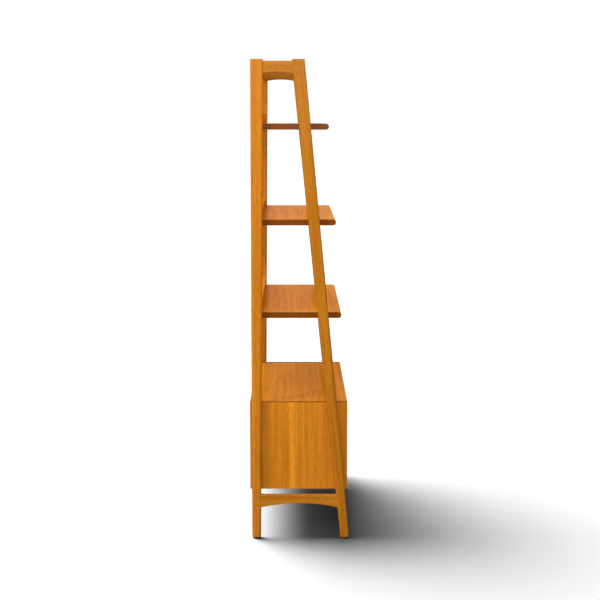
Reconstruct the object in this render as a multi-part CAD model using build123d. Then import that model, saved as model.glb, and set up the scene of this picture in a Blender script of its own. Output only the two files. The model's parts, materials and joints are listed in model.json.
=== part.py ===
from build123d import *
import os

# A ladder shelf: two A-shaped side frames carry three open shelves and a two-drawer cabinet.
# Millimetres. +Z is up, the front faces -Y, and the origin is on the floor under the middle.
# "Forward" is the distance in front of the rear posts' back faces, and runs towards -Y.

# Overall
HEIGHT = 2032.0
WIDTH = 965.0
CABINET_BACK = -8.0          # forward; the cabinet stands a little behind the rear posts
LEG_FRONT_FOOT = 417.0       # forward; front of a front leg's foot
FOOT_SETBACK = 1.1           # the rounded foot's widest place is this much behind that
FORWARD_CENTRE = (CABINET_BACK + LEG_FRONT_FOOT - FOOT_SETBACK) / 2

# Side frames
LEG_THICKNESS = 32.0         # across the unit
LEG_DEPTH_TOP = 52.0
LEG_DEPTH_FOOT = 38.0
LEG_FRONT_TOP = 224.0        # forward; front of a front leg's top end
LEG_ROUND_TOP = 5.5          # radius of the long edges, which grows towards the foot
LEG_ROUND_FOOT = 11.5
FOOT_ROUND = 8.0
TOP_ROUND = 1.5
GLIDE_HEIGHT = 3.0
GLIDE_RADIUS = 9.0
GLIDE_NAIL_RADIUS = 1.1
GLIDE_NAIL_LENGTH = 14.0
SIDE_RAIL_THICKNESS = 24.0
SIDE_RAIL_EDGE = 2.5
TOP_RAIL_Z = (1973.0, 2025.0)
TOP_RAIL_RISE = 6.5          # arch of the underside
LOWER_RAIL_Z = (138.0, 192.0)
LOWER_RAIL_RISE = 18.0
INNER_X = WIDTH / 2 - LEG_THICKNESS
FRAME_X = WIDTH / 2 - LEG_THICKNESS / 2

# Shelves and the rails behind them: name, height of the top face, forward edge
SHELVES = (("lower", 979.0, 380.0), ("middle", 1371.0, 356.0), ("upper", 1769.0, 325.0))
SHELF_THICKNESS = 25.0
BACK_RAIL_THICKNESS = 18.0
BACK_RAIL_LIP = 44.0         # height above the shelf's top face
BACK_RAIL_EDGE = 3.0
ANCHOR_SPACING = 406.4       # two wall-anchor holes in the top back rail, a stud spacing apart
ANCHOR_RADIUS = 2.5

# Cabinet
CABINET_Z = (212.0, 591.0)
CABINET_FRONT = 407.0        # forward
PANEL = 18.0
PANEL_EDGE = 1.2
BACK_PANEL = 6.0
BACK_PANEL_INSET = 8.0
GROOVE_DEPTH = 5.5

# Drawers
DRAWER_NAMES = ("lower", "upper")
FRONT_GAP = 3.0
DRAWER_FRONT = 18.0
DRAWER_SIDE = 12.0
DRAWER_BOTTOM = 6.0
DRAWER_SIDE_HEIGHT = 130.0
DRAWER_SIDE_LIFT = 12.0      # from a front's bottom edge to its sides' bottom edges
DRAWER_BOTTOM_LIFT = 12.0    # from the sides' bottom edges to the bottom panel
DRAWER_GROOVE = 5.0
DRAWER_LENGTH = 350.0
DRAWER_EDGE = 2.0            # rounding of the sides' top edges
NOTCH_WIDTH = 140.0
NOTCH_DEPTH = 22.0

# Ball-bearing drawer slides, full extension
SLIDE_LENGTH = 350.0
SLIDE_THICKNESS = 12.7
SLIDE_SHEET = 1.2
SLIDE_TRAVEL = 330.0
SLIDE_BACK = CABINET_FRONT - DRAWER_FRONT - DRAWER_LENGTH
# Each member: distance of its web from the panel, where its flanges start and end, half height
OUTER_MEMBER = (0.0, 0.0, 9.0, 22.5)
MIDDLE_MEMBER = (2.4, 2.4, 10.0, 17.9)
INNER_MEMBER = (SLIDE_THICKNESS - SLIDE_SHEET, 5.0, SLIDE_THICKNESS, 13.3)
BALL_RADIUS = 1.6
BALL_COUNT = 5
BALL_PITCH = 35.0
OUTER_BALLS = (5.5, 19.6, 12.0)       # from the panel, above the centre, from the slide's back
INNER_BALLS = (7.5, 15.0, 190.0)

# Fasteners
DOWEL_RADIUS = 4.0
DOWEL_LENGTH = 40.0
SHORT_DOWEL_LENGTH = 30.0
SIDE_RAIL_DOWELS = (0.33, 0.75)       # share of a side rail's height
BACK_RAIL_DOWELS = (0.28, 0.72)       # share of a back rail's height
BACK_DOWEL_IN_POST = 11.0             # short of the side rails' dowels
SHELF_DOWELS = (-0.8, 0.0, 0.8)       # share of half a shelf's length
SHELF_DOWEL_IN_RAIL = 12.0
SHELF_DOWEL_IN_LEG = 14.0
CARCASS_DOWELS = (0.15, 0.5, 0.85)    # share of the cabinet's depth
CARCASS_DOWEL_IN_SIDE = 12.0
DRAWER_DOWEL_RADIUS = 3.0
DRAWER_FRONT_DOWEL_LENGTH = 24.0
DRAWER_BACK_DOWEL_LENGTH = 18.0
DRAWER_DOWEL_INSETS = (35.0, 25.0)    # from the sides' bottom and top edges
SHELF_FIXING_SPREAD = 9.0             # dowel and cam bolt each side of a leg's middle
CAM_RADIUS = 7.5
CAM_HEIGHT = 12.5
CAM_REACH = 34.0             # from a shelf's end to its cam lock's centre
CAM_BOLT_RADIUS = 3.0
CAM_BOLT_THREAD = 12.0
BOLT_RADIUS = 3.0
BOLT_HEAD_RADIUS = 6.0
BOLT_HEAD_HEIGHT = 3.5
BOLT_REACH = 14.0            # into the leg
INSERT_RADIUS = 5.0
INSERT_LENGTH = 15.0
BOLT_HEIGHTS = (240.0, 562.0)
SCREW_RADIUS = 1.75
SCREW_HEAD_RADIUS = 3.5
SCREW_HEAD_HEIGHT = 1.0
SCREW_LENGTH = 11.0
SCREW_PLACES = (25.0, 175.0, 325.0)   # along a slide


def row_y(forward):
    return FORWARD_CENTRE - forward


def block(x, forward, z):
    """A plain block between pairs of X, forward and Z limits."""
    centre = (sum(x) / 2, row_y(sum(forward) / 2), sum(z) / 2)
    return Pos(*centre) * Box(x[1] - x[0], forward[1] - forward[0], z[1] - z[0])


def board(x, forward, z, edge):
    """A block with every edge rounded."""
    plain = block(x, forward, z)
    return fillet(plain.edges(), edge)


def rod(centre, axis, radius, length):
    """A cylinder whose middle is at (x, forward, z)."""
    turn = {"x": Rot(0, 90, 0), "y": Rot(90, 0, 0), "z": Rot(0, 0, 0)}[axis]
    x, forward, z = centre
    return Pos(x, row_y(forward), z) * turn * Cylinder(radius, length)


def leg_front(z, front_foot, front_top):
    return front_foot + (front_top - front_foot) * z / HEIGHT


def leg_depth(z):
    return LEG_DEPTH_FOOT + (LEG_DEPTH_TOP - LEG_DEPTH_FOOT) * z / HEIGHT


def post_front(z):
    """Forward place of the rear posts' front faces, whose back faces are upright."""
    return leg_depth(z)


def front_leg_middle(z):
    return leg_front(z, LEG_FRONT_FOOT, LEG_FRONT_TOP) - leg_depth(z) / 2


def tapered_leg(side, front_foot, front_top):
    """A post that is deeper at the top, with rounded edges and a rounded foot."""
    sections = []
    for z, share in ((GLIDE_HEIGHT, 0.0), (HEIGHT, 1.0)):
        depth = leg_depth(z)
        radius = LEG_ROUND_FOOT + (LEG_ROUND_TOP - LEG_ROUND_FOOT) * share
        middle = leg_front(z, front_foot, front_top) - depth / 2
        outline = RectangleRounded(LEG_THICKNESS, depth, radius)
        sections.append(Pos(side * FRAME_X, row_y(middle), z) * outline)
    leg = loft(sections, ruled=True)
    leg = fillet(leg.faces().sort_by(Axis.Z)[0].edges(), FOOT_ROUND)
    return fillet(leg.faces().sort_by(Axis.Z)[-1].edges(), TOP_ROUND)


def arched_side_rail(side, z, rise):
    """A rail from a rear post to a front leg, with an arched underside."""
    back = post_front(z[0]) - LEG_DEPTH_FOOT / 2
    front = front_leg_middle(z[0])
    arch_back = post_front(z[0])
    arch_front = leg_front(z[0], LEG_FRONT_FOOT, LEG_FRONT_TOP) - leg_depth(z[0])
    arch = (
        (row_y(arch_back), z[0]),
        (row_y((arch_back + arch_front) / 2), z[0] + rise),
        (row_y(arch_front), z[0]),
    )
    outline = [
        Line((row_y(front), z[1]), (row_y(back), z[1])),
        Line((row_y(back), z[1]), (row_y(back), z[0])),
        Line((row_y(back), z[0]), arch[0]),
        ThreePointArc(*arch),
        Line(arch[2], (row_y(front), z[0])),
        Line((row_y(front), z[0]), (row_y(front), z[1])),
    ]
    face = Plane.YZ * make_face(outline)
    half = SIDE_RAIL_THICKNESS / 2
    rail = Pos(side * FRAME_X - half, 0, 0) * extrude(face, SIDE_RAIL_THICKNESS, dir=(1, 0, 0))
    long_edges = [e for e in rail.edges() if abs(e.center().X) and abs(e.tangent_at(0.5).X) < 0.5]
    long_edges = [e for e in long_edges if abs(e.tangent_at(0.5).Z) < 0.5]
    return fillet(long_edges, SIDE_RAIL_EDGE)


def side_name(side):
    return "left" if side < 0 else "right"


pieces = {}


def fasten(name, fasteners, fastened):
    """Adds a group of fasteners and cuts their holes in the pieces that they join."""
    pieces[name] = Compound(children=fasteners)
    for other in fastened:
        for fastener in fasteners:
            pieces[other] = pieces[other] - fastener


# Side frames: two posts, two legs and four arched rails
for side in (-1, 1):
    name = side_name(side)
    post = tapered_leg(side, LEG_DEPTH_FOOT, LEG_DEPTH_TOP)
    leg = tapered_leg(side, LEG_FRONT_FOOT, LEG_FRONT_TOP)
    pieces[name + "_rear_post"] = post
    pieces[name + "_front_leg"] = leg
    for rail_name, rail_z, rise in (
        ("_top_side_rail", TOP_RAIL_Z, TOP_RAIL_RISE),
        ("_lower_side_rail", LOWER_RAIL_Z, LOWER_RAIL_RISE),
    ):
        pieces[name + rail_name] = arched_side_rail(side, rail_z, rise) - post - leg

frame_pieces = list(pieces)

# Back rails: one behind each shelf and one at the top
shelf_x = (-INNER_X, INNER_X)
back_rails = [
    (name + "_back_rail", (top - SHELF_THICKNESS, top + BACK_RAIL_LIP))
    for name, top, _ in SHELVES
]
back_rails.append(("top_back_rail", TOP_RAIL_Z))
for name, rail_z in back_rails:
    rail_front = post_front(sum(rail_z) / 2)
    pieces[name] = board(
        shelf_x, (rail_front - BACK_RAIL_THICKNESS, rail_front), rail_z, BACK_RAIL_EDGE
    )

# Wall-anchor holes through the top back rail
anchor_z = sum(TOP_RAIL_Z) / 2
for x in (-ANCHOR_SPACING / 2, ANCHOR_SPACING / 2):
    hole = rod((x, post_front(anchor_z), anchor_z), "y", ANCHOR_RADIUS, 3 * BACK_RAIL_THICKNESS)
    pieces["top_back_rail"] -= hole

# Shelves, with a bullnose front edge
for name, top, front in SHELVES:
    back = post_front(top + (BACK_RAIL_LIP - SHELF_THICKNESS) / 2)
    shelf = block(shelf_x, (back, front), (top - SHELF_THICKNESS, top))
    front_edges = shelf.faces().sort_by(Axis.Y)[0].edges().filter_by(Axis.X)
    pieces[name + "_shelf"] = fillet(front_edges, SHELF_THICKNESS / 2 - 0.05)

# Cabinet carcass
side_panel_x = INNER_X - PANEL
carcass_depth = (CABINET_BACK, CABINET_FRONT)
for side in (-1, 1):
    x = sorted((side * side_panel_x, side * INNER_X))
    name = "cabinet_" + side_name(side) + "_side"
    pieces[name] = board(x, carcass_depth, CABINET_Z, PANEL_EDGE)
level_x = (-side_panel_x, side_panel_x)
for name, level_z in (
    ("cabinet_bottom", (CABINET_Z[0], CABINET_Z[0] + PANEL)),
    ("cabinet_top", (CABINET_Z[1] - PANEL, CABINET_Z[1])),
):
    level = block(level_x, carcass_depth, level_z)
    pieces[name] = fillet(level.edges().filter_by(Axis.X), PANEL_EDGE)
back_panel_forward = CABINET_BACK + BACK_PANEL_INSET
back_panel = block(
    (-side_panel_x - GROOVE_DEPTH, side_panel_x + GROOVE_DEPTH),
    (back_panel_forward, back_panel_forward + BACK_PANEL),
    (CABINET_Z[0] + PANEL - GROOVE_DEPTH, CABINET_Z[1] - PANEL + GROOVE_DEPTH),
)
for name in ("cabinet_left_side", "cabinet_right_side", "cabinet_top", "cabinet_bottom"):
    pieces[name] -= back_panel
pieces["cabinet_back"] = back_panel


def slide_member(side, back, centre_z, profile):
    """A folded channel: a web and two flanges that face the same way."""
    web, flange_start, flange_end, half_height = profile
    forward = (back, back + SLIDE_LENGTH)
    web_x = (web, web + SLIDE_SHEET)
    parts = [(web_x, (-half_height, half_height))]
    for sign in (-1, 1):
        flange_z = sorted((sign * half_height, sign * (half_height - SLIDE_SHEET)))
        parts.append(((flange_start, flange_end), flange_z))
    solids = []
    for x, z in parts:
        across = sorted((side * (side_panel_x - x[0]), side * (side_panel_x - x[1])))
        solids.append(block(across, forward, (centre_z + z[0], centre_z + z[1])))
    return solids[0] + solids[1] + solids[2]


def slide_balls(side, back, centre_z, row):
    """The bearing balls of one pair of raceways."""
    from_panel, above, start = row
    balls = []
    for sign in (-1, 1):
        for i in range(BALL_COUNT):
            forward = back + start + i * BALL_PITCH
            place = (side * (side_panel_x - from_panel), row_y(forward), centre_z + sign * above)
            balls.append(Pos(*place) * Sphere(BALL_RADIUS))
    return balls


def slide_screw(side, face, towards, forward, z):
    """A screw whose head rests on a slide's web: face and towards are X distances from the panel."""
    head_x = side * (side_panel_x - face + towards * SCREW_HEAD_HEIGHT / 2)
    shank_x = side * (side_panel_x - face - towards * SCREW_LENGTH / 2)
    head = rod((head_x, forward, z), "x", SCREW_HEAD_RADIUS, SCREW_HEAD_HEIGHT)
    return head + rod((shank_x, forward, z), "x", SCREW_RADIUS, SCREW_LENGTH)


def drawer_front(name, z, half_width):
    """A flush front with a scooped finger notch in its top edge."""
    forward = (CABINET_FRONT - DRAWER_FRONT, CABINET_FRONT)
    front = board((-half_width, half_width), forward, z, PANEL_EDGE)
    scoop_radius = ((NOTCH_WIDTH / 2) ** 2 + NOTCH_DEPTH**2) / (2 * NOTCH_DEPTH)
    scoop_z = z[1] - NOTCH_DEPTH + scoop_radius
    return front - rod((0, CABINET_FRONT, scoop_z), "y", scoop_radius, 4 * DRAWER_FRONT)


# Drawers and their slides
opening_z = (CABINET_Z[0] + PANEL, CABINET_Z[1] - PANEL)
front_height = (opening_z[1] - opening_z[0] - 3 * FRONT_GAP) / 2
box_half_width = side_panel_x - SLIDE_THICKNESS
box_front = CABINET_FRONT - DRAWER_FRONT
cabinet_screws = []
for index, name in enumerate(DRAWER_NAMES):
    front_low = opening_z[0] + FRONT_GAP + index * (front_height + FRONT_GAP)
    front_z = (front_low, front_low + front_height)
    side_low = front_low + DRAWER_SIDE_LIFT
    side_z = (side_low, side_low + DRAWER_SIDE_HEIGHT)
    slide_z = sum(side_z) / 2
    drawer = name + "_drawer"
    pieces[drawer + "_front"] = drawer_front(name, front_z, side_panel_x - FRONT_GAP)
    inner_half_width = box_half_width - DRAWER_SIDE
    box_back = box_front - DRAWER_LENGTH
    for side in (-1, 1):
        x = sorted((side * inner_half_width, side * box_half_width))
        side_board = block(x, (box_back, box_front), side_z)
        top_edges = side_board.faces().sort_by(Axis.Z)[-1].edges().filter_by(Axis.Y)
        pieces[f"{drawer}_{side_name(side)}_side"] = fillet(top_edges, DRAWER_EDGE)
    pieces[drawer + "_back"] = block(
        (-inner_half_width, inner_half_width), (box_back, box_back + DRAWER_SIDE), side_z
    )
    bottom_low = side_low + DRAWER_BOTTOM_LIFT
    bottom = block(
        (-inner_half_width - DRAWER_GROOVE, inner_half_width + DRAWER_GROOVE),
        (box_back + DRAWER_SIDE - DRAWER_GROOVE, box_front + DRAWER_GROOVE),
        (bottom_low, bottom_low + DRAWER_BOTTOM),
    )
    box_pieces = ["_front", "_left_side", "_right_side", "_back"]
    for suffix in box_pieces:
        pieces[drawer + suffix] -= bottom
    pieces[drawer + "_bottom"] = bottom
    dowels = []
    for side in (-1, 1):
        for z in (side_z[0] + DRAWER_DOWEL_INSETS[0], side_z[1] - DRAWER_DOWEL_INSETS[1]):
            place = (side * (box_half_width - DRAWER_SIDE / 2), box_front, z)
            dowels.append(rod(place, "y", DRAWER_DOWEL_RADIUS, DRAWER_FRONT_DOWEL_LENGTH))
            place = (side * inner_half_width, box_back + DRAWER_SIDE / 2, z)
            dowels.append(rod(place, "x", DRAWER_DOWEL_RADIUS, DRAWER_BACK_DOWEL_LENGTH))
    fasten(drawer + "_dowels", dowels, [drawer + suffix for suffix in box_pieces])
    balls = []
    drawer_screws = []
    for side in (-1, 1):
        slide = f"{name}_slide_{side_name(side)}"
        pieces[slide + "_cabinet_member"] = slide_member(side, SLIDE_BACK, slide_z, OUTER_MEMBER)
        pieces[slide + "_middle_member"] = slide_member(side, SLIDE_BACK, slide_z, MIDDLE_MEMBER)
        pieces[slide + "_drawer_member"] = slide_member(side, SLIDE_BACK, slide_z, INNER_MEMBER)
        for row in (OUTER_BALLS, INNER_BALLS):
            balls += slide_balls(side, SLIDE_BACK, slide_z, row)
        for place in SCREW_PLACES:
            forward = SLIDE_BACK + place
            screw = slide_screw(side, SLIDE_SHEET, -1, forward, slide_z)
            cabinet_screws.append(screw)
            pieces[slide + "_cabinet_member"] -= screw
            pieces[f"cabinet_{side_name(side)}_side"] -= screw
            screw = slide_screw(side, INNER_MEMBER[0], 1, forward, slide_z)
            drawer_screws.append(screw)
            pieces[slide + "_drawer_member"] -= screw
            pieces[f"{drawer}_{side_name(side)}_side"] -= screw
    pieces[name + "_slide_balls"] = Compound(children=balls)
    pieces[drawer + "_screws"] = Compound(children=drawer_screws)
pieces["slide_screws"] = Compound(children=cabinet_screws)

# Dowels between the side frames' posts, legs and rails
rail_dowels = []
for side in (-1, 1):
    for rail_z in (TOP_RAIL_Z, LOWER_RAIL_Z):
        for share in SIDE_RAIL_DOWELS:
            z = rail_z[0] + share * (rail_z[1] - rail_z[0])
            leg_back = leg_front(z, LEG_FRONT_FOOT, LEG_FRONT_TOP) - leg_depth(z)
            for forward in (post_front(z), leg_back):
                rail_dowels.append(
                    rod((side * FRAME_X, forward, z), "y", DOWEL_RADIUS, DOWEL_LENGTH)
                )
fasten("side_rail_dowels", rail_dowels, frame_pieces)

# Dowels between the back rails and the rear posts
post_names = ["left_rear_post", "right_rear_post"]
back_rail_dowels = []
for name, rail_z in back_rails:
    middle = post_front(sum(rail_z) / 2) - BACK_RAIL_THICKNESS / 2
    for side in (-1, 1):
        for share in BACK_RAIL_DOWELS:
            z = rail_z[0] + share * (rail_z[1] - rail_z[0])
            place = (side * (INNER_X + BACK_DOWEL_IN_POST - DOWEL_LENGTH / 2), middle, z)
            back_rail_dowels.append(rod(place, "x", DOWEL_RADIUS, DOWEL_LENGTH))
fasten("back_rail_dowels", back_rail_dowels, post_names + [name for name, _ in back_rails])

# Shelf fixings: dowels into the back rails and the front legs, and a cam fitting at each end
leg_names = ["left_front_leg", "right_front_leg"]
back_dowels = []
end_dowels = []
cam_bolts = []
cam_locks = []
for name, top, _ in SHELVES:
    z = top - SHELF_THICKNESS / 2
    back = post_front(top + (BACK_RAIL_LIP - SHELF_THICKNESS) / 2)
    for share in SHELF_DOWELS:
        forward = back - SHELF_DOWEL_IN_RAIL + SHORT_DOWEL_LENGTH / 2
        place = (share * INNER_X, forward, z)
        back_dowels.append(rod(place, "y", DOWEL_RADIUS, SHORT_DOWEL_LENGTH))
    leg_middle = front_leg_middle(z)
    for side in (-1, 1):
        dowel_x = side * (INNER_X + SHELF_DOWEL_IN_LEG - SHORT_DOWEL_LENGTH / 2)
        place = (dowel_x, leg_middle - SHELF_FIXING_SPREAD, z)
        end_dowels.append(rod(place, "x", DOWEL_RADIUS, SHORT_DOWEL_LENGTH))
        bolt_length = CAM_REACH - CAM_RADIUS + CAM_BOLT_THREAD
        bolt_x = side * (INNER_X + CAM_BOLT_THREAD - bolt_length / 2)
        cam_forward = leg_middle + SHELF_FIXING_SPREAD
        cam_bolts.append(rod((bolt_x, cam_forward, z), "x", CAM_BOLT_RADIUS, bolt_length))
        cam_z = top - SHELF_THICKNESS + CAM_HEIGHT / 2
        place = (side * (INNER_X - CAM_REACH), cam_forward, cam_z)
        cam_locks.append(rod(place, "z", CAM_RADIUS, CAM_HEIGHT))
shelf_names = [name + "_shelf" for name, _, _ in SHELVES]
shelf_rail_names = [name + "_back_rail" for name, _, _ in SHELVES]
fasten("shelf_back_dowels", back_dowels, shelf_names + shelf_rail_names)
fasten("shelf_end_dowels", end_dowels, shelf_names + leg_names)
fasten("shelf_cam_bolts", cam_bolts, shelf_names + leg_names)
fasten("shelf_cam_locks", cam_locks, shelf_names)

# Cabinet fixings: dowels in the carcass, and bolts into threaded inserts in the posts and legs
carcass_dowels = []
for z in (CABINET_Z[0] + PANEL / 2, CABINET_Z[1] - PANEL / 2):
    for side in (-1, 1):
        for share in CARCASS_DOWELS:
            forward = CABINET_BACK + share * (CABINET_FRONT - CABINET_BACK)
            dowel_x = side_panel_x + CARCASS_DOWEL_IN_SIDE - SHORT_DOWEL_LENGTH / 2
            place = (side * dowel_x, forward, z)
            carcass_dowels.append(rod(place, "x", DOWEL_RADIUS, SHORT_DOWEL_LENGTH))
cabinet_sides = ["cabinet_left_side", "cabinet_right_side"]
fasten("cabinet_dowels", carcass_dowels, cabinet_sides + ["cabinet_top", "cabinet_bottom"])

inserts = []
bolts = []
for side in (-1, 1):
    for z in BOLT_HEIGHTS:
        for forward in (leg_depth(z) / 2, front_leg_middle(z)):
            insert_x = side * (INNER_X + INSERT_LENGTH / 2)
            shank_length = PANEL + BOLT_REACH
            shank_x = side * (side_panel_x + shank_length / 2)
            head_x = side * (side_panel_x - BOLT_HEAD_HEIGHT / 2)
            shank = rod((shank_x, forward, z), "x", BOLT_RADIUS, shank_length)
            head = rod((head_x, forward, z), "x", BOLT_HEAD_RADIUS, BOLT_HEAD_HEIGHT)
            insert = rod((insert_x, forward, z), "x", INSERT_RADIUS, INSERT_LENGTH)
            bolts.append(shank + head)
            inserts.append(insert)
fasten("leg_inserts", inserts, post_names + leg_names)
for index, bolt in enumerate(bolts):
    inserts[index] = inserts[index] - bolt
pieces["leg_inserts"] = Compound(children=inserts)
fasten("cabinet_bolts", bolts, cabinet_sides)

# Nail-on glides under the four feet
glides = []
for side in (-1, 1):
    for forward in (leg_depth(0) / 2, front_leg_middle(0)):
        base = rod((side * FRAME_X, forward, GLIDE_HEIGHT / 2), "z", GLIDE_RADIUS, GLIDE_HEIGHT)
        nail_z = GLIDE_HEIGHT + GLIDE_NAIL_LENGTH / 2
        place = (side * FRAME_X, forward, nail_z)
        glides.append(base + rod(place, "z", GLIDE_NAIL_RADIUS, GLIDE_NAIL_LENGTH))
fasten("foot_glides", glides, post_names + leg_names)

os.makedirs("parts", exist_ok=True)
for name, piece in pieces.items():
    export_step(piece, f"parts/{name}.step")
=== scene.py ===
"""Looks for the ladder shelf: stained wood, plywood drawer boxes, zinc hardware and a plain white studio."""

import json
import math

import bpy
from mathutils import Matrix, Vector


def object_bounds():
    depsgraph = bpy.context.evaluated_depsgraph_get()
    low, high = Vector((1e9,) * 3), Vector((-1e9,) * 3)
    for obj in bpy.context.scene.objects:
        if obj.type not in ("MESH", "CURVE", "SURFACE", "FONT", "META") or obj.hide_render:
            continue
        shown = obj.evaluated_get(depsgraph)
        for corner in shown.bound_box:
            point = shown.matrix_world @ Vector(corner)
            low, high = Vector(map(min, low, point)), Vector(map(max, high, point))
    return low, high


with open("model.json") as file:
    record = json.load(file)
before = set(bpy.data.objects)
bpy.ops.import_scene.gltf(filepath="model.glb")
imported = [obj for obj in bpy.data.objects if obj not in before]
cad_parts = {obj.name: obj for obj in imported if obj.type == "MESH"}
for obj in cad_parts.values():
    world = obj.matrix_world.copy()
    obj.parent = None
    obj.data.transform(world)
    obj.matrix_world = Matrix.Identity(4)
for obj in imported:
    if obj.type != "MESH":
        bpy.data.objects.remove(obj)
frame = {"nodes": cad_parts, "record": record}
cad_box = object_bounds()
low, high = cad_box
HEIGHT = high.z - low.z

# ---------------------------------------------------------------- camera

CAMERA_DISTANCE = 5.66       # from the middle of the shelf, on its left side, in metres
CAMERA_HEIGHT = 1.78
CAMERA_FORWARD = -0.021      # along -Y from the middle
AIM_FORWARD = 0.003
AIM_HEIGHT = 1.077
LENS = 74.9                  # focal length in millimetres
SENSOR = 36.0
SHIFT = -0.04                # of the frame's width


def add_camera():
    """Looks at the left side from a little above the middle."""
    data = bpy.data.cameras.new("camera")
    data.lens = LENS
    data.sensor_width = SENSOR
    data.shift_y = SHIFT
    camera = bpy.data.objects.new("camera", data)
    bpy.context.scene.collection.objects.link(camera)
    camera.location = (-CAMERA_DISTANCE, -CAMERA_FORWARD, CAMERA_HEIGHT)
    aim = Vector((0, -AIM_FORWARD, AIM_HEIGHT))
    camera.rotation_euler = (aim - camera.location).to_track_quat("-Z", "Y").to_euler()
    bpy.context.scene.camera = camera


add_camera()

# ---------------------------------------------------------------- node helpers


def new_material(name):
    """A node material, its node tree and its shader."""
    material = bpy.data.materials.new(name)
    material.use_nodes = True
    tree = material.node_tree
    return material, tree, tree.nodes["Principled BSDF"]


def add(tree, kind, **settings):
    """A new node with these properties."""
    node = tree.nodes.new(kind)
    for key, value in settings.items():
        setattr(node, key, value)
    return node


def math_node(tree, operation, a, b=None):
    node = add(tree, "ShaderNodeMath", operation=operation)
    for socket, value in zip(node.inputs, (a, b)):
        if value is None:
            continue
        if isinstance(value, (int, float)):
            socket.default_value = value
        else:
            tree.links.new(value, socket)
    return node.outputs[0]


def map_range(tree, value, source, target, smooth=False):
    node = add(tree, "ShaderNodeMapRange")
    node.interpolation_type = "SMOOTHSTEP" if smooth else "LINEAR"
    tree.links.new(value, node.inputs[0])
    for socket, number in zip(node.inputs[1:5], (*source, *target)):
        socket.default_value = number
    return node.outputs[0]


def mix_colour(tree, kind, factor, a, b):
    node = add(tree, "ShaderNodeMix", data_type="RGBA", blend_type=kind)
    for socket, value in zip((node.inputs[0], node.inputs[6], node.inputs[7]), (factor, a, b)):
        if isinstance(value, (int, float)):
            socket.default_value = value
        elif isinstance(value, tuple):
            socket.default_value = (*value, 1.0)
        else:
            tree.links.new(value, socket)
    return node.outputs[2]


def mapping(tree, vector, location=(0, 0, 0), rotation=(0, 0, 0), scale=(1, 1, 1)):
    node = add(tree, "ShaderNodeMapping")
    tree.links.new(vector, node.inputs[0])
    node.inputs[1].default_value = location
    node.inputs[2].default_value = rotation
    node.inputs[3].default_value = scale
    return node.outputs[0]


def noise(tree, vector, scale, detail, roughness=0.55, distortion=0.0):
    node = add(tree, "ShaderNodeTexNoise")
    tree.links.new(vector, node.inputs["Vector"])
    node.inputs["Scale"].default_value = scale
    node.inputs["Detail"].default_value = detail
    node.inputs["Roughness"].default_value = roughness
    node.inputs["Distortion"].default_value = distortion
    return node.outputs[0]


def grey(tree, value):
    """A colour whose three channels are all this value."""
    node = add(tree, "ShaderNodeCombineColor")
    for socket in node.inputs:
        tree.links.new(value, socket)
    return node.outputs[0]


def relief(tree, shader, height, strength, depth):
    """A fine relief on the surface, from a height and a depth in metres."""
    bump = add(tree, "ShaderNodeBump")
    bump.inputs["Strength"].default_value = strength
    bump.inputs["Distance"].default_value = depth
    tree.links.new(height, bump.inputs["Height"])
    tree.links.new(bump.outputs[0], shader.inputs["Normal"])


# ---------------------------------------------------------------- wood

NOISE_SPAN = (0.3, 0.7)      # the part of a noise's values that is used
UNIT = (0.0, 1.0)
# How far each part of the figure is drawn out along the grain, as a scale below 1
FIBRE_DRAW = 0.035
FIGURE_DRAW = 0.03
CLOUD_DRAW = 0.3
FLECK_DRAW = 0.16
# The noise scale of each part, per metre across the grain
FIGURE_SCALE = 62.0
FIBRE_SCALE = 520.0
PORE_SCALE = 1150.0
CLOUD_SCALE = 7.0
FLECK_SCALE = 240.0
RING_SCALE = 160.0
PORE_SPAN = (0.58, 0.7)      # only the highest values open as pores
END_SPAN = (0.6, 0.85)       # how squarely a face must meet the grain to show its end
# How much each part darkens and lightens the wood
FIBRE_SHADE = (0.87, 1.1)
CLOUD_SHADE = (0.95, 1.05)
FLECK_SHADE = (0.9, 1.1)
PORE_SHADE = (1.0, 0.68)
RING_SHADE = (0.75, 1.2)
PORE_SINK = 0.8              # depth of the pores against the fibres
WOOD_RELIEF_DEPTH = 0.0004   # metres

# Finishes: roughness under the lacquer, lacquer weight, lacquer roughness, strength of the relief
SATIN = (0.45, 0.04, 0.3, 0.14)
RUBBED = (0.45, 0.22, 0.17, 0.03)
BARE = (0.55, 0.04, 0.4, 0.16)
GRAIN_TURN = {"x": (0, math.pi / 2, 0), "y": (math.pi / 2, 0, 0), "z": (0, 0, 0)}
SEED_STEP = Vector((3.71, 5.13, 2.37))     # moves each board to its own piece of the pattern


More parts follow.
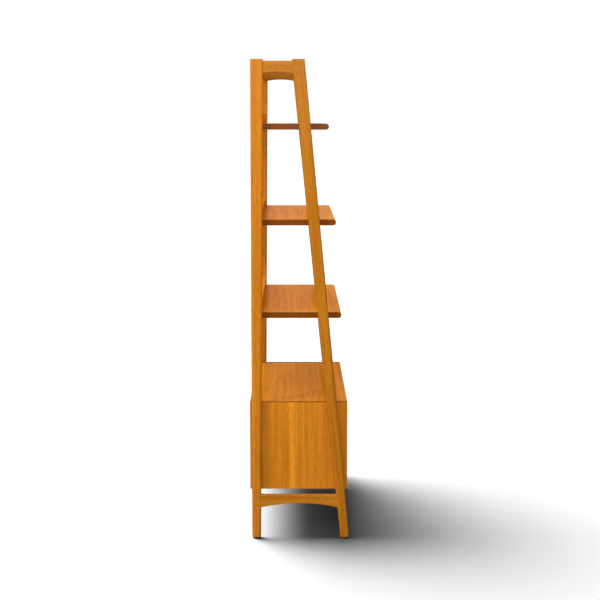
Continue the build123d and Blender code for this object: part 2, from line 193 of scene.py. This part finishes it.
def wood(name, grain, seed, pale, deep, end, lean=0.0, tone=1.0, leaves=(), finish=None):
    """Stained wood with its grain along one axis.

    pale and deep are the figure's two colours and end is the end grain's. lean tilts the grain about X.
    tone lightens or darkens the whole board; on the shelves it is painted light for their tops. leaves are
    (from, to, leaf tone) bands of veneer across Y, in metres from the back of the object.
    """
    gloss, coat, coat_roughness, relief_strength = finish or SATIN
    material, tree, shader = new_material(name)
    place = add(tree, "ShaderNodeTexCoord").outputs["Object"]
    tilted = mapping(tree, place, rotation=(lean, 0, 0))
    turned = mapping(tree, tilted, location=SEED_STEP * seed, rotation=GRAIN_TURN[grain])
    long_fibres = mapping(tree, turned, scale=(1, 1, FIBRE_DRAW))
    long_figure = mapping(tree, turned, scale=(1, 1, FIGURE_DRAW))
    broad = mapping(tree, turned, scale=(1, 1, CLOUD_DRAW))
    short = mapping(tree, turned, scale=(1, 1, FLECK_DRAW))

    figure = noise(tree, long_figure, FIGURE_SCALE, 4.0, 0.55, 0.25)
    figure = map_range(tree, figure, NOISE_SPAN, UNIT, smooth=True)
    fibres = noise(tree, long_fibres, FIBRE_SCALE, 3.0, 0.65)
    pores = map_range(tree, noise(tree, long_fibres, PORE_SCALE, 2.0), PORE_SPAN, UNIT)
    cloud = noise(tree, broad, CLOUD_SCALE, 2.0)
    fleck = noise(tree, short, FLECK_SCALE, 2.0, 0.5)

    colour = mix_colour(tree, "MIX", figure, deep, pale)
    shade = map_range(tree, fibres, NOISE_SPAN, FIBRE_SHADE)
    shade = math_node(tree, "MULTIPLY", shade, map_range(tree, cloud, NOISE_SPAN, CLOUD_SHADE))
    shade = math_node(tree, "MULTIPLY", shade, map_range(tree, fleck, NOISE_SPAN, FLECK_SHADE))
    shade = math_node(tree, "MULTIPLY", shade, map_range(tree, pores, UNIT, PORE_SHADE))
    # the whole board's tone, which on the shelves is painted light for their tops
    shade = math_node(tree, "MULTIPLY", shade, tone)
    if leaves:
        across = add(tree, "ShaderNodeSeparateXYZ")
        tree.links.new(place, across.inputs[0])
        forward = math_node(tree, "SUBTRACT", high.y, across.outputs[1])
        for start, stop, leaf_tone in leaves:
            inside = math_node(tree, "GREATER_THAN", forward, start)
            before = math_node(tree, "LESS_THAN", forward, stop)
            inside = math_node(tree, "MULTIPLY", inside, before)
            leaf = map_range(tree, inside, UNIT, (1.0, leaf_tone))
            shade = math_node(tree, "MULTIPLY", shade, leaf)
    colour = mix_colour(tree, "MULTIPLY", 1.0, colour, grey(tree, shade))

    normal = add(tree, "ShaderNodeSeparateXYZ")
    tree.links.new(add(tree, "ShaderNodeTexCoord").outputs["Normal"], normal.inputs[0])
    along = math_node(tree, "ABSOLUTE", normal.outputs["xyz".index(grain)])
    end_mask = map_range(tree, along, END_SPAN, UNIT, smooth=True)
    rings = map_range(tree, noise(tree, turned, RING_SCALE, 4.0, 0.7), NOISE_SPAN, RING_SHADE)
    end_colour = mix_colour(tree, "MULTIPLY", 1.0, end, grey(tree, rings))
    colour = mix_colour(tree, "MIX", end_mask, colour, end_colour)
    tree.links.new(colour, shader.inputs["Base Color"])

    rough = map_range(tree, fibres, NOISE_SPAN, (gloss + 0.07, gloss - 0.04))
    tree.links.new(rough, shader.inputs["Roughness"])
    shader.inputs["Coat Weight"].default_value = coat
    shader.inputs["Coat Roughness"].default_value = coat_roughness
    shader.inputs["Specular IOR Level"].default_value = 0.0
    height = math_node(tree, "SUBTRACT", fibres, math_node(tree, "MULTIPLY", pores, PORE_SINK))
    relief(tree, shader, height, relief_strength, WOOD_RELIEF_DEPTH)
    return material


# Linear colours: the stained finish, the bare wood of the drawer boxes, and the dowels
STAIN_PALE = (0.67, 0.242, 0.018)
STAIN_DEEP = (0.54, 0.174, 0.010)
STAIN_END = (0.20, 0.052, 0.003)
INNER_PALE = (0.74, 0.53, 0.31)
INNER_DEEP = (0.62, 0.41, 0.22)
INNER_END = (0.48, 0.29, 0.14)
BEECH_PALE = (0.76, 0.56, 0.36)
BEECH_DEEP = (0.64, 0.44, 0.26)
LEG_FRONT_FOOT = 0.417       # a front leg's front edge, from the back of the object, in metres
LEG_FRONT_TOP = 0.224
LEG_LEAN = math.atan((LEG_FRONT_FOOT - LEG_FRONT_TOP) / HEIGHT)
# Tones of boards, by a piece's name or by its name after the first underscore. The shelves' tones are
# painted light:
# they make the shelves lighter than the other boards, the middle shelf most and the lower shelf least, to
# stand for the light on their tops.
TONES_AND_PAINTED_LIGHT = {
    "rear_post": 0.96,
    "front_leg": 0.79,
    "top_side_rail": 0.77,
    "lower_side_rail": 0.86,
    # painted light: the three shelves are made lighter to stand for the light falling on their tops
    "shelf": 1.26,
    "middle_shelf": 1.33,
    "lower_shelf": 1.13,
    "top": 0.98,
}
SIDE_TONE = 1.03
BACK_TONE = 0.85
VENEER_LEAVES = ((0.166, 0.201, 1.22), (0.201, 0.208, 0.86), (0.208, 0.42, 1.02))


def stained(name, grain, seed, **more):
    return wood(name, grain, seed, STAIN_PALE, STAIN_DEEP, STAIN_END, **more)


ZINC = (0.62, 0.62, 0.58)
SLIDE_STEEL = (0.56, 0.57, 0.58)
BEARING_STEEL = (0.75, 0.75, 0.76)
GLIDE_BROWN = (0.035, 0.026, 0.02)
NYLON_ROUGHNESS = (0.42, 0.6)
NYLON_RELIEF = 0.2
NYLON_RELIEF_DEPTH = 0.0002  # metres


def plain_metal(name, colour, roughness, streak):
    """Plated or polished steel with faint mottling."""
    material, tree, shader = new_material(name)
    place = add(tree, "ShaderNodeTexCoord").outputs["Object"]
    drawn = mapping(tree, place, scale=(1, 0.05, 1))
    lines = noise(tree, drawn, 300.0, 3.0)
    blotch = noise(tree, place, 30.0, 2.0)
    amount = map_range(tree, blotch, NOISE_SPAN, (0.9, 1.06))
    colour = mix_colour(tree, "MULTIPLY", 1.0, colour, grey(tree, amount))
    tree.links.new(colour, shader.inputs["Base Color"])
    shader.inputs["Metallic"].default_value = 1.0
    rough = map_range(tree, lines, NOISE_SPAN, (roughness - streak, roughness + streak))
    tree.links.new(rough, shader.inputs["Roughness"])
    return material


def nylon(name, colour):
    """Moulded plastic with a fine sparked surface."""
    material, tree, shader = new_material(name)
    place = add(tree, "ShaderNodeTexCoord").outputs["Object"]
    grit = noise(tree, place, 2600.0, 2.0)
    patch = map_range(tree, noise(tree, place, 120.0, 3.0), NOISE_SPAN, (0.85, 1.15))
    colour = mix_colour(tree, "MULTIPLY", 1.0, colour, grey(tree, patch))
    tree.links.new(colour, shader.inputs["Base Color"])
    rough = map_range(tree, grit, NOISE_SPAN, NYLON_ROUGHNESS)
    tree.links.new(rough, shader.inputs["Roughness"])
    relief(tree, shader, grit, NYLON_RELIEF, NYLON_RELIEF_DEPTH)
    return material


# ---------------------------------------------------------------- each node's material


def grain_of(node):
    """The axis along which a wooden piece's grain runs."""
    if node.endswith(("_post", "_leg")) or node in ("cabinet_left_side", "cabinet_right_side"):
        return "z"
    if node.endswith("_side_rail") or (("_drawer_" in node) and node.endswith("_side")):
        return "y"
    return "x"


def tone_of(node, seed):
    """A board's tone, which for the shelves is painted light: its own, its kind's, or a small difference
    from board to board.
    """
    spread = ((seed * 7) % 11) / 10
    usual = TONES_AND_PAINTED_LIGHT.get(node.split("_", 1)[1], 0.96 + 0.08 * spread)
    return TONES_AND_PAINTED_LIGHT.get(node, usual)


def dress(node, seed):
    """The material of a CAD node, from its slot in the record."""
    slot = slots[node]
    if slot in shared:
        return shared[slot]
    grain = grain_of(node)
    tone = tone_of(node, seed)
    if slot == "drawer_box_wood":
        return wood(node, grain, seed, INNER_PALE, INNER_DEEP, INNER_END, tone=tone, finish=BARE)
    if slot == "back_panel_wood":
        return stained(node, grain, seed, tone=BACK_TONE, finish=BARE)
    if node.endswith("_leg"):
        return stained(node, grain, seed, lean=LEG_LEAN, tone=tone)
    if node in ("cabinet_left_side", "cabinet_right_side"):
        return stained(node, grain, seed, leaves=VENEER_LEAVES, tone=SIDE_TONE)
    if slot == "veneered_wood":
        return stained(node, grain, seed, tone=tone, finish=RUBBED)
    return stained(node, grain, seed, tone=tone)


shared = {
    "zinc_steel": plain_metal("zinc", ZINC, 0.4, 0.04),
    "slide_steel": plain_metal("slide_steel", SLIDE_STEEL, 0.42, 0.03),
    "bearing_steel": plain_metal("bearing_steel", BEARING_STEEL, 0.08, 0.03),
    "glide_plastic": nylon("glide_nylon", GLIDE_BROWN),
    "dowel_wood": wood("dowel_beech", "x", 40, BEECH_PALE, BEECH_DEEP, BEECH_DEEP, finish=BARE),
}
slots = {entry["node"]: entry["material_slot"] for entry in frame["record"]["subparts"]}
for seed, node in enumerate(sorted(frame["nodes"])):
    material = dress(node, seed)
    for slot in frame["nodes"][node].material_slots:
        slot.material = material

# ---------------------------------------------------------------- studio

BACKDROP = 1.03              # brightness of the white background in the picture
# The sky's strength as a light. Spans are of a direction's x, y or z, from -1 to 1.
SKY_BASE = 0.03              # from low down, on every side
SKY_ABOVE = 1.85             # from overhead
SKY_ABOVE_SPAN = (0.1, 0.9)
SKY_FRONT = 0.6              # how much of the overhead light there is on the front's side
SKY_FRONT_SPAN = (-0.6, 0.3)
SKY_BEHIND = 0.55            # more from the far side, near the horizon, which the shelves' tops reflect
SKY_BEHIND_SPAN = (0.0, 0.8)
HORIZON_SPAN = (0.10, 0.21)  # over which the light from behind fades upwards
HORIZON_FADE = (1.0, 0.12)
KEY_PLACE = Vector((-3.4, -0.1, 2.24))     # on the left, a little above the top rails
KEY_SIZE = 0.45
KEY_POWER = 41.0
SIDE_PLACE = Vector((-2.3, 2.6, 2.1))      # from behind on the left: shades beside the legs
SIDE_SIZE = 0.6
SIDE_POWER = 54.0
FILL_PLACE = Vector((1.0, -4.2, 2.4))      # large and weak, from the front
FILL_SIZE = 3.0
FILL_POWER = 22.0
FLOOR_REACH = 200.0
FLOOR_SEEN = 0.03            # the floor's own grey as the camera sees it
FLOOR_BOUNCE = 0.008         # and for the light that it throws back up
FLOOR_LIGHT_SOFT = math.radians(48)
FLOOR_HIGH_LIGHT = 116.0     # these two light only the floor: one for the dark patch under the cabinet
FLOOR_HIGH_FROM = Vector((0.68, 0.85, 1.8))
FLOOR_LOW_LIGHT = 25.0       # and one for the long soft shadow beside it
FLOOR_LOW_FROM = Vector((0.68, 1.0, 1.15))


def add_world():
    """White to the camera; as a light, brightest overhead."""
    world = bpy.data.worlds.new("studio")
    bpy.context.scene.world = world
    world.use_nodes = True
    tree = world.node_tree
    background = tree.nodes["Background"]
    way = add(tree, "ShaderNodeSeparateXYZ")
    tree.links.new(add(tree, "ShaderNodeTexCoord").outputs["Generated"], way.inputs[0])
    behind = map_range(tree, way.outputs[0], SKY_BEHIND_SPAN, (0.0, SKY_BEHIND), smooth=True)
    near_horizon = map_range(tree, way.outputs[2], HORIZON_SPAN, HORIZON_FADE, smooth=True)
    behind = math_node(tree, "MULTIPLY", behind, near_horizon)
    above = map_range(tree, way.outputs[2], SKY_ABOVE_SPAN, (SKY_BASE, SKY_ABOVE), smooth=True)
    from_back = map_range(tree, way.outputs[1], SKY_FRONT_SPAN, (SKY_FRONT, 1.0), smooth=True)
    above = math_node(tree, "MULTIPLY", above, from_back)
    seen = add(tree, "ShaderNodeLightPath").outputs["Is Camera Ray"]
    keep = math_node(tree, "SUBTRACT", 1.0, seen)
    lit = math_node(tree, "MULTIPLY", math_node(tree, "ADD", behind, above), keep)
    shown = math_node(tree, "MULTIPLY", seen, BACKDROP)
    tree.links.new(math_node(tree, "ADD", lit, shown), background.inputs["Strength"])
    background.inputs["Color"].default_value = (1, 1, 1, 1)


def add_area(name, place, aim, size, power):
    """A square softbox turned to a point."""
    data = bpy.data.lights.new(name, "AREA")
    data.size = size
    data.energy = power
    light = bpy.data.objects.new(name, data)
    bpy.context.scene.collection.objects.link(light)
    light.location = place
    light.rotation_euler = (aim - place).to_track_quat("-Z", "Y").to_euler()


def add_floor():
    """A dark floor that its own two lights bring up to white, so that it throws little light back up."""
    mesh = bpy.data.meshes.new("floor")
    turns = ((-1, -1), (1, -1), (1, 1), (-1, 1))
    corners = [(x * FLOOR_REACH, y * FLOOR_REACH, low.z) for x, y in turns]
    mesh.from_pydata(corners, [], [(0, 1, 2, 3)])
    floor = bpy.data.objects.new("floor", mesh)
    bpy.context.scene.collection.objects.link(floor)
    material, tree, shader = new_material("studio_floor")
    seen = add(tree, "ShaderNodeLightPath").outputs["Is Camera Ray"]
    lightness = map_range(tree, seen, UNIT, (FLOOR_BOUNCE, FLOOR_SEEN))
    tree.links.new(grey(tree, lightness), shader.inputs["Base Color"])
    shader.inputs["Roughness"].default_value = 1.0
    shader.inputs["Specular IOR Level"].default_value = 0.0
    floor.data.materials.append(material)
    return floor


def add_floor_light(name, place, strength, only_floor):
    """A soft sun that reaches the floor alone, so that the floor stays white round a dark shadow."""
    data = bpy.data.lights.new(name, "SUN")
    data.energy = strength
    data.angle = FLOOR_LIGHT_SOFT
    light = bpy.data.objects.new(name, data)
    bpy.context.scene.collection.objects.link(light)
    light.rotation_euler = (-place).to_track_quat("-Z", "Y").to_euler()
    light.light_linking.receiver_collection = only_floor


add_world()
only_floor = bpy.data.collections.new("only_floor")
only_floor.objects.link(add_floor())
add_floor_light("floor_high", FLOOR_HIGH_FROM, FLOOR_HIGH_LIGHT, only_floor)
add_floor_light("floor_low", FLOOR_LOW_FROM, FLOOR_LOW_LIGHT, only_floor)
middle = Vector((0, 0, HEIGHT / 2))
add_area("key_light", KEY_PLACE, middle, KEY_SIZE, KEY_POWER)
add_area("side_light", SIDE_PLACE, middle, SIDE_SIZE, SIDE_POWER)
add_area("fill_light", FILL_PLACE, middle, FILL_SIZE, FILL_POWER)
bpy.context.scene.view_settings.view_transform = "Standard"
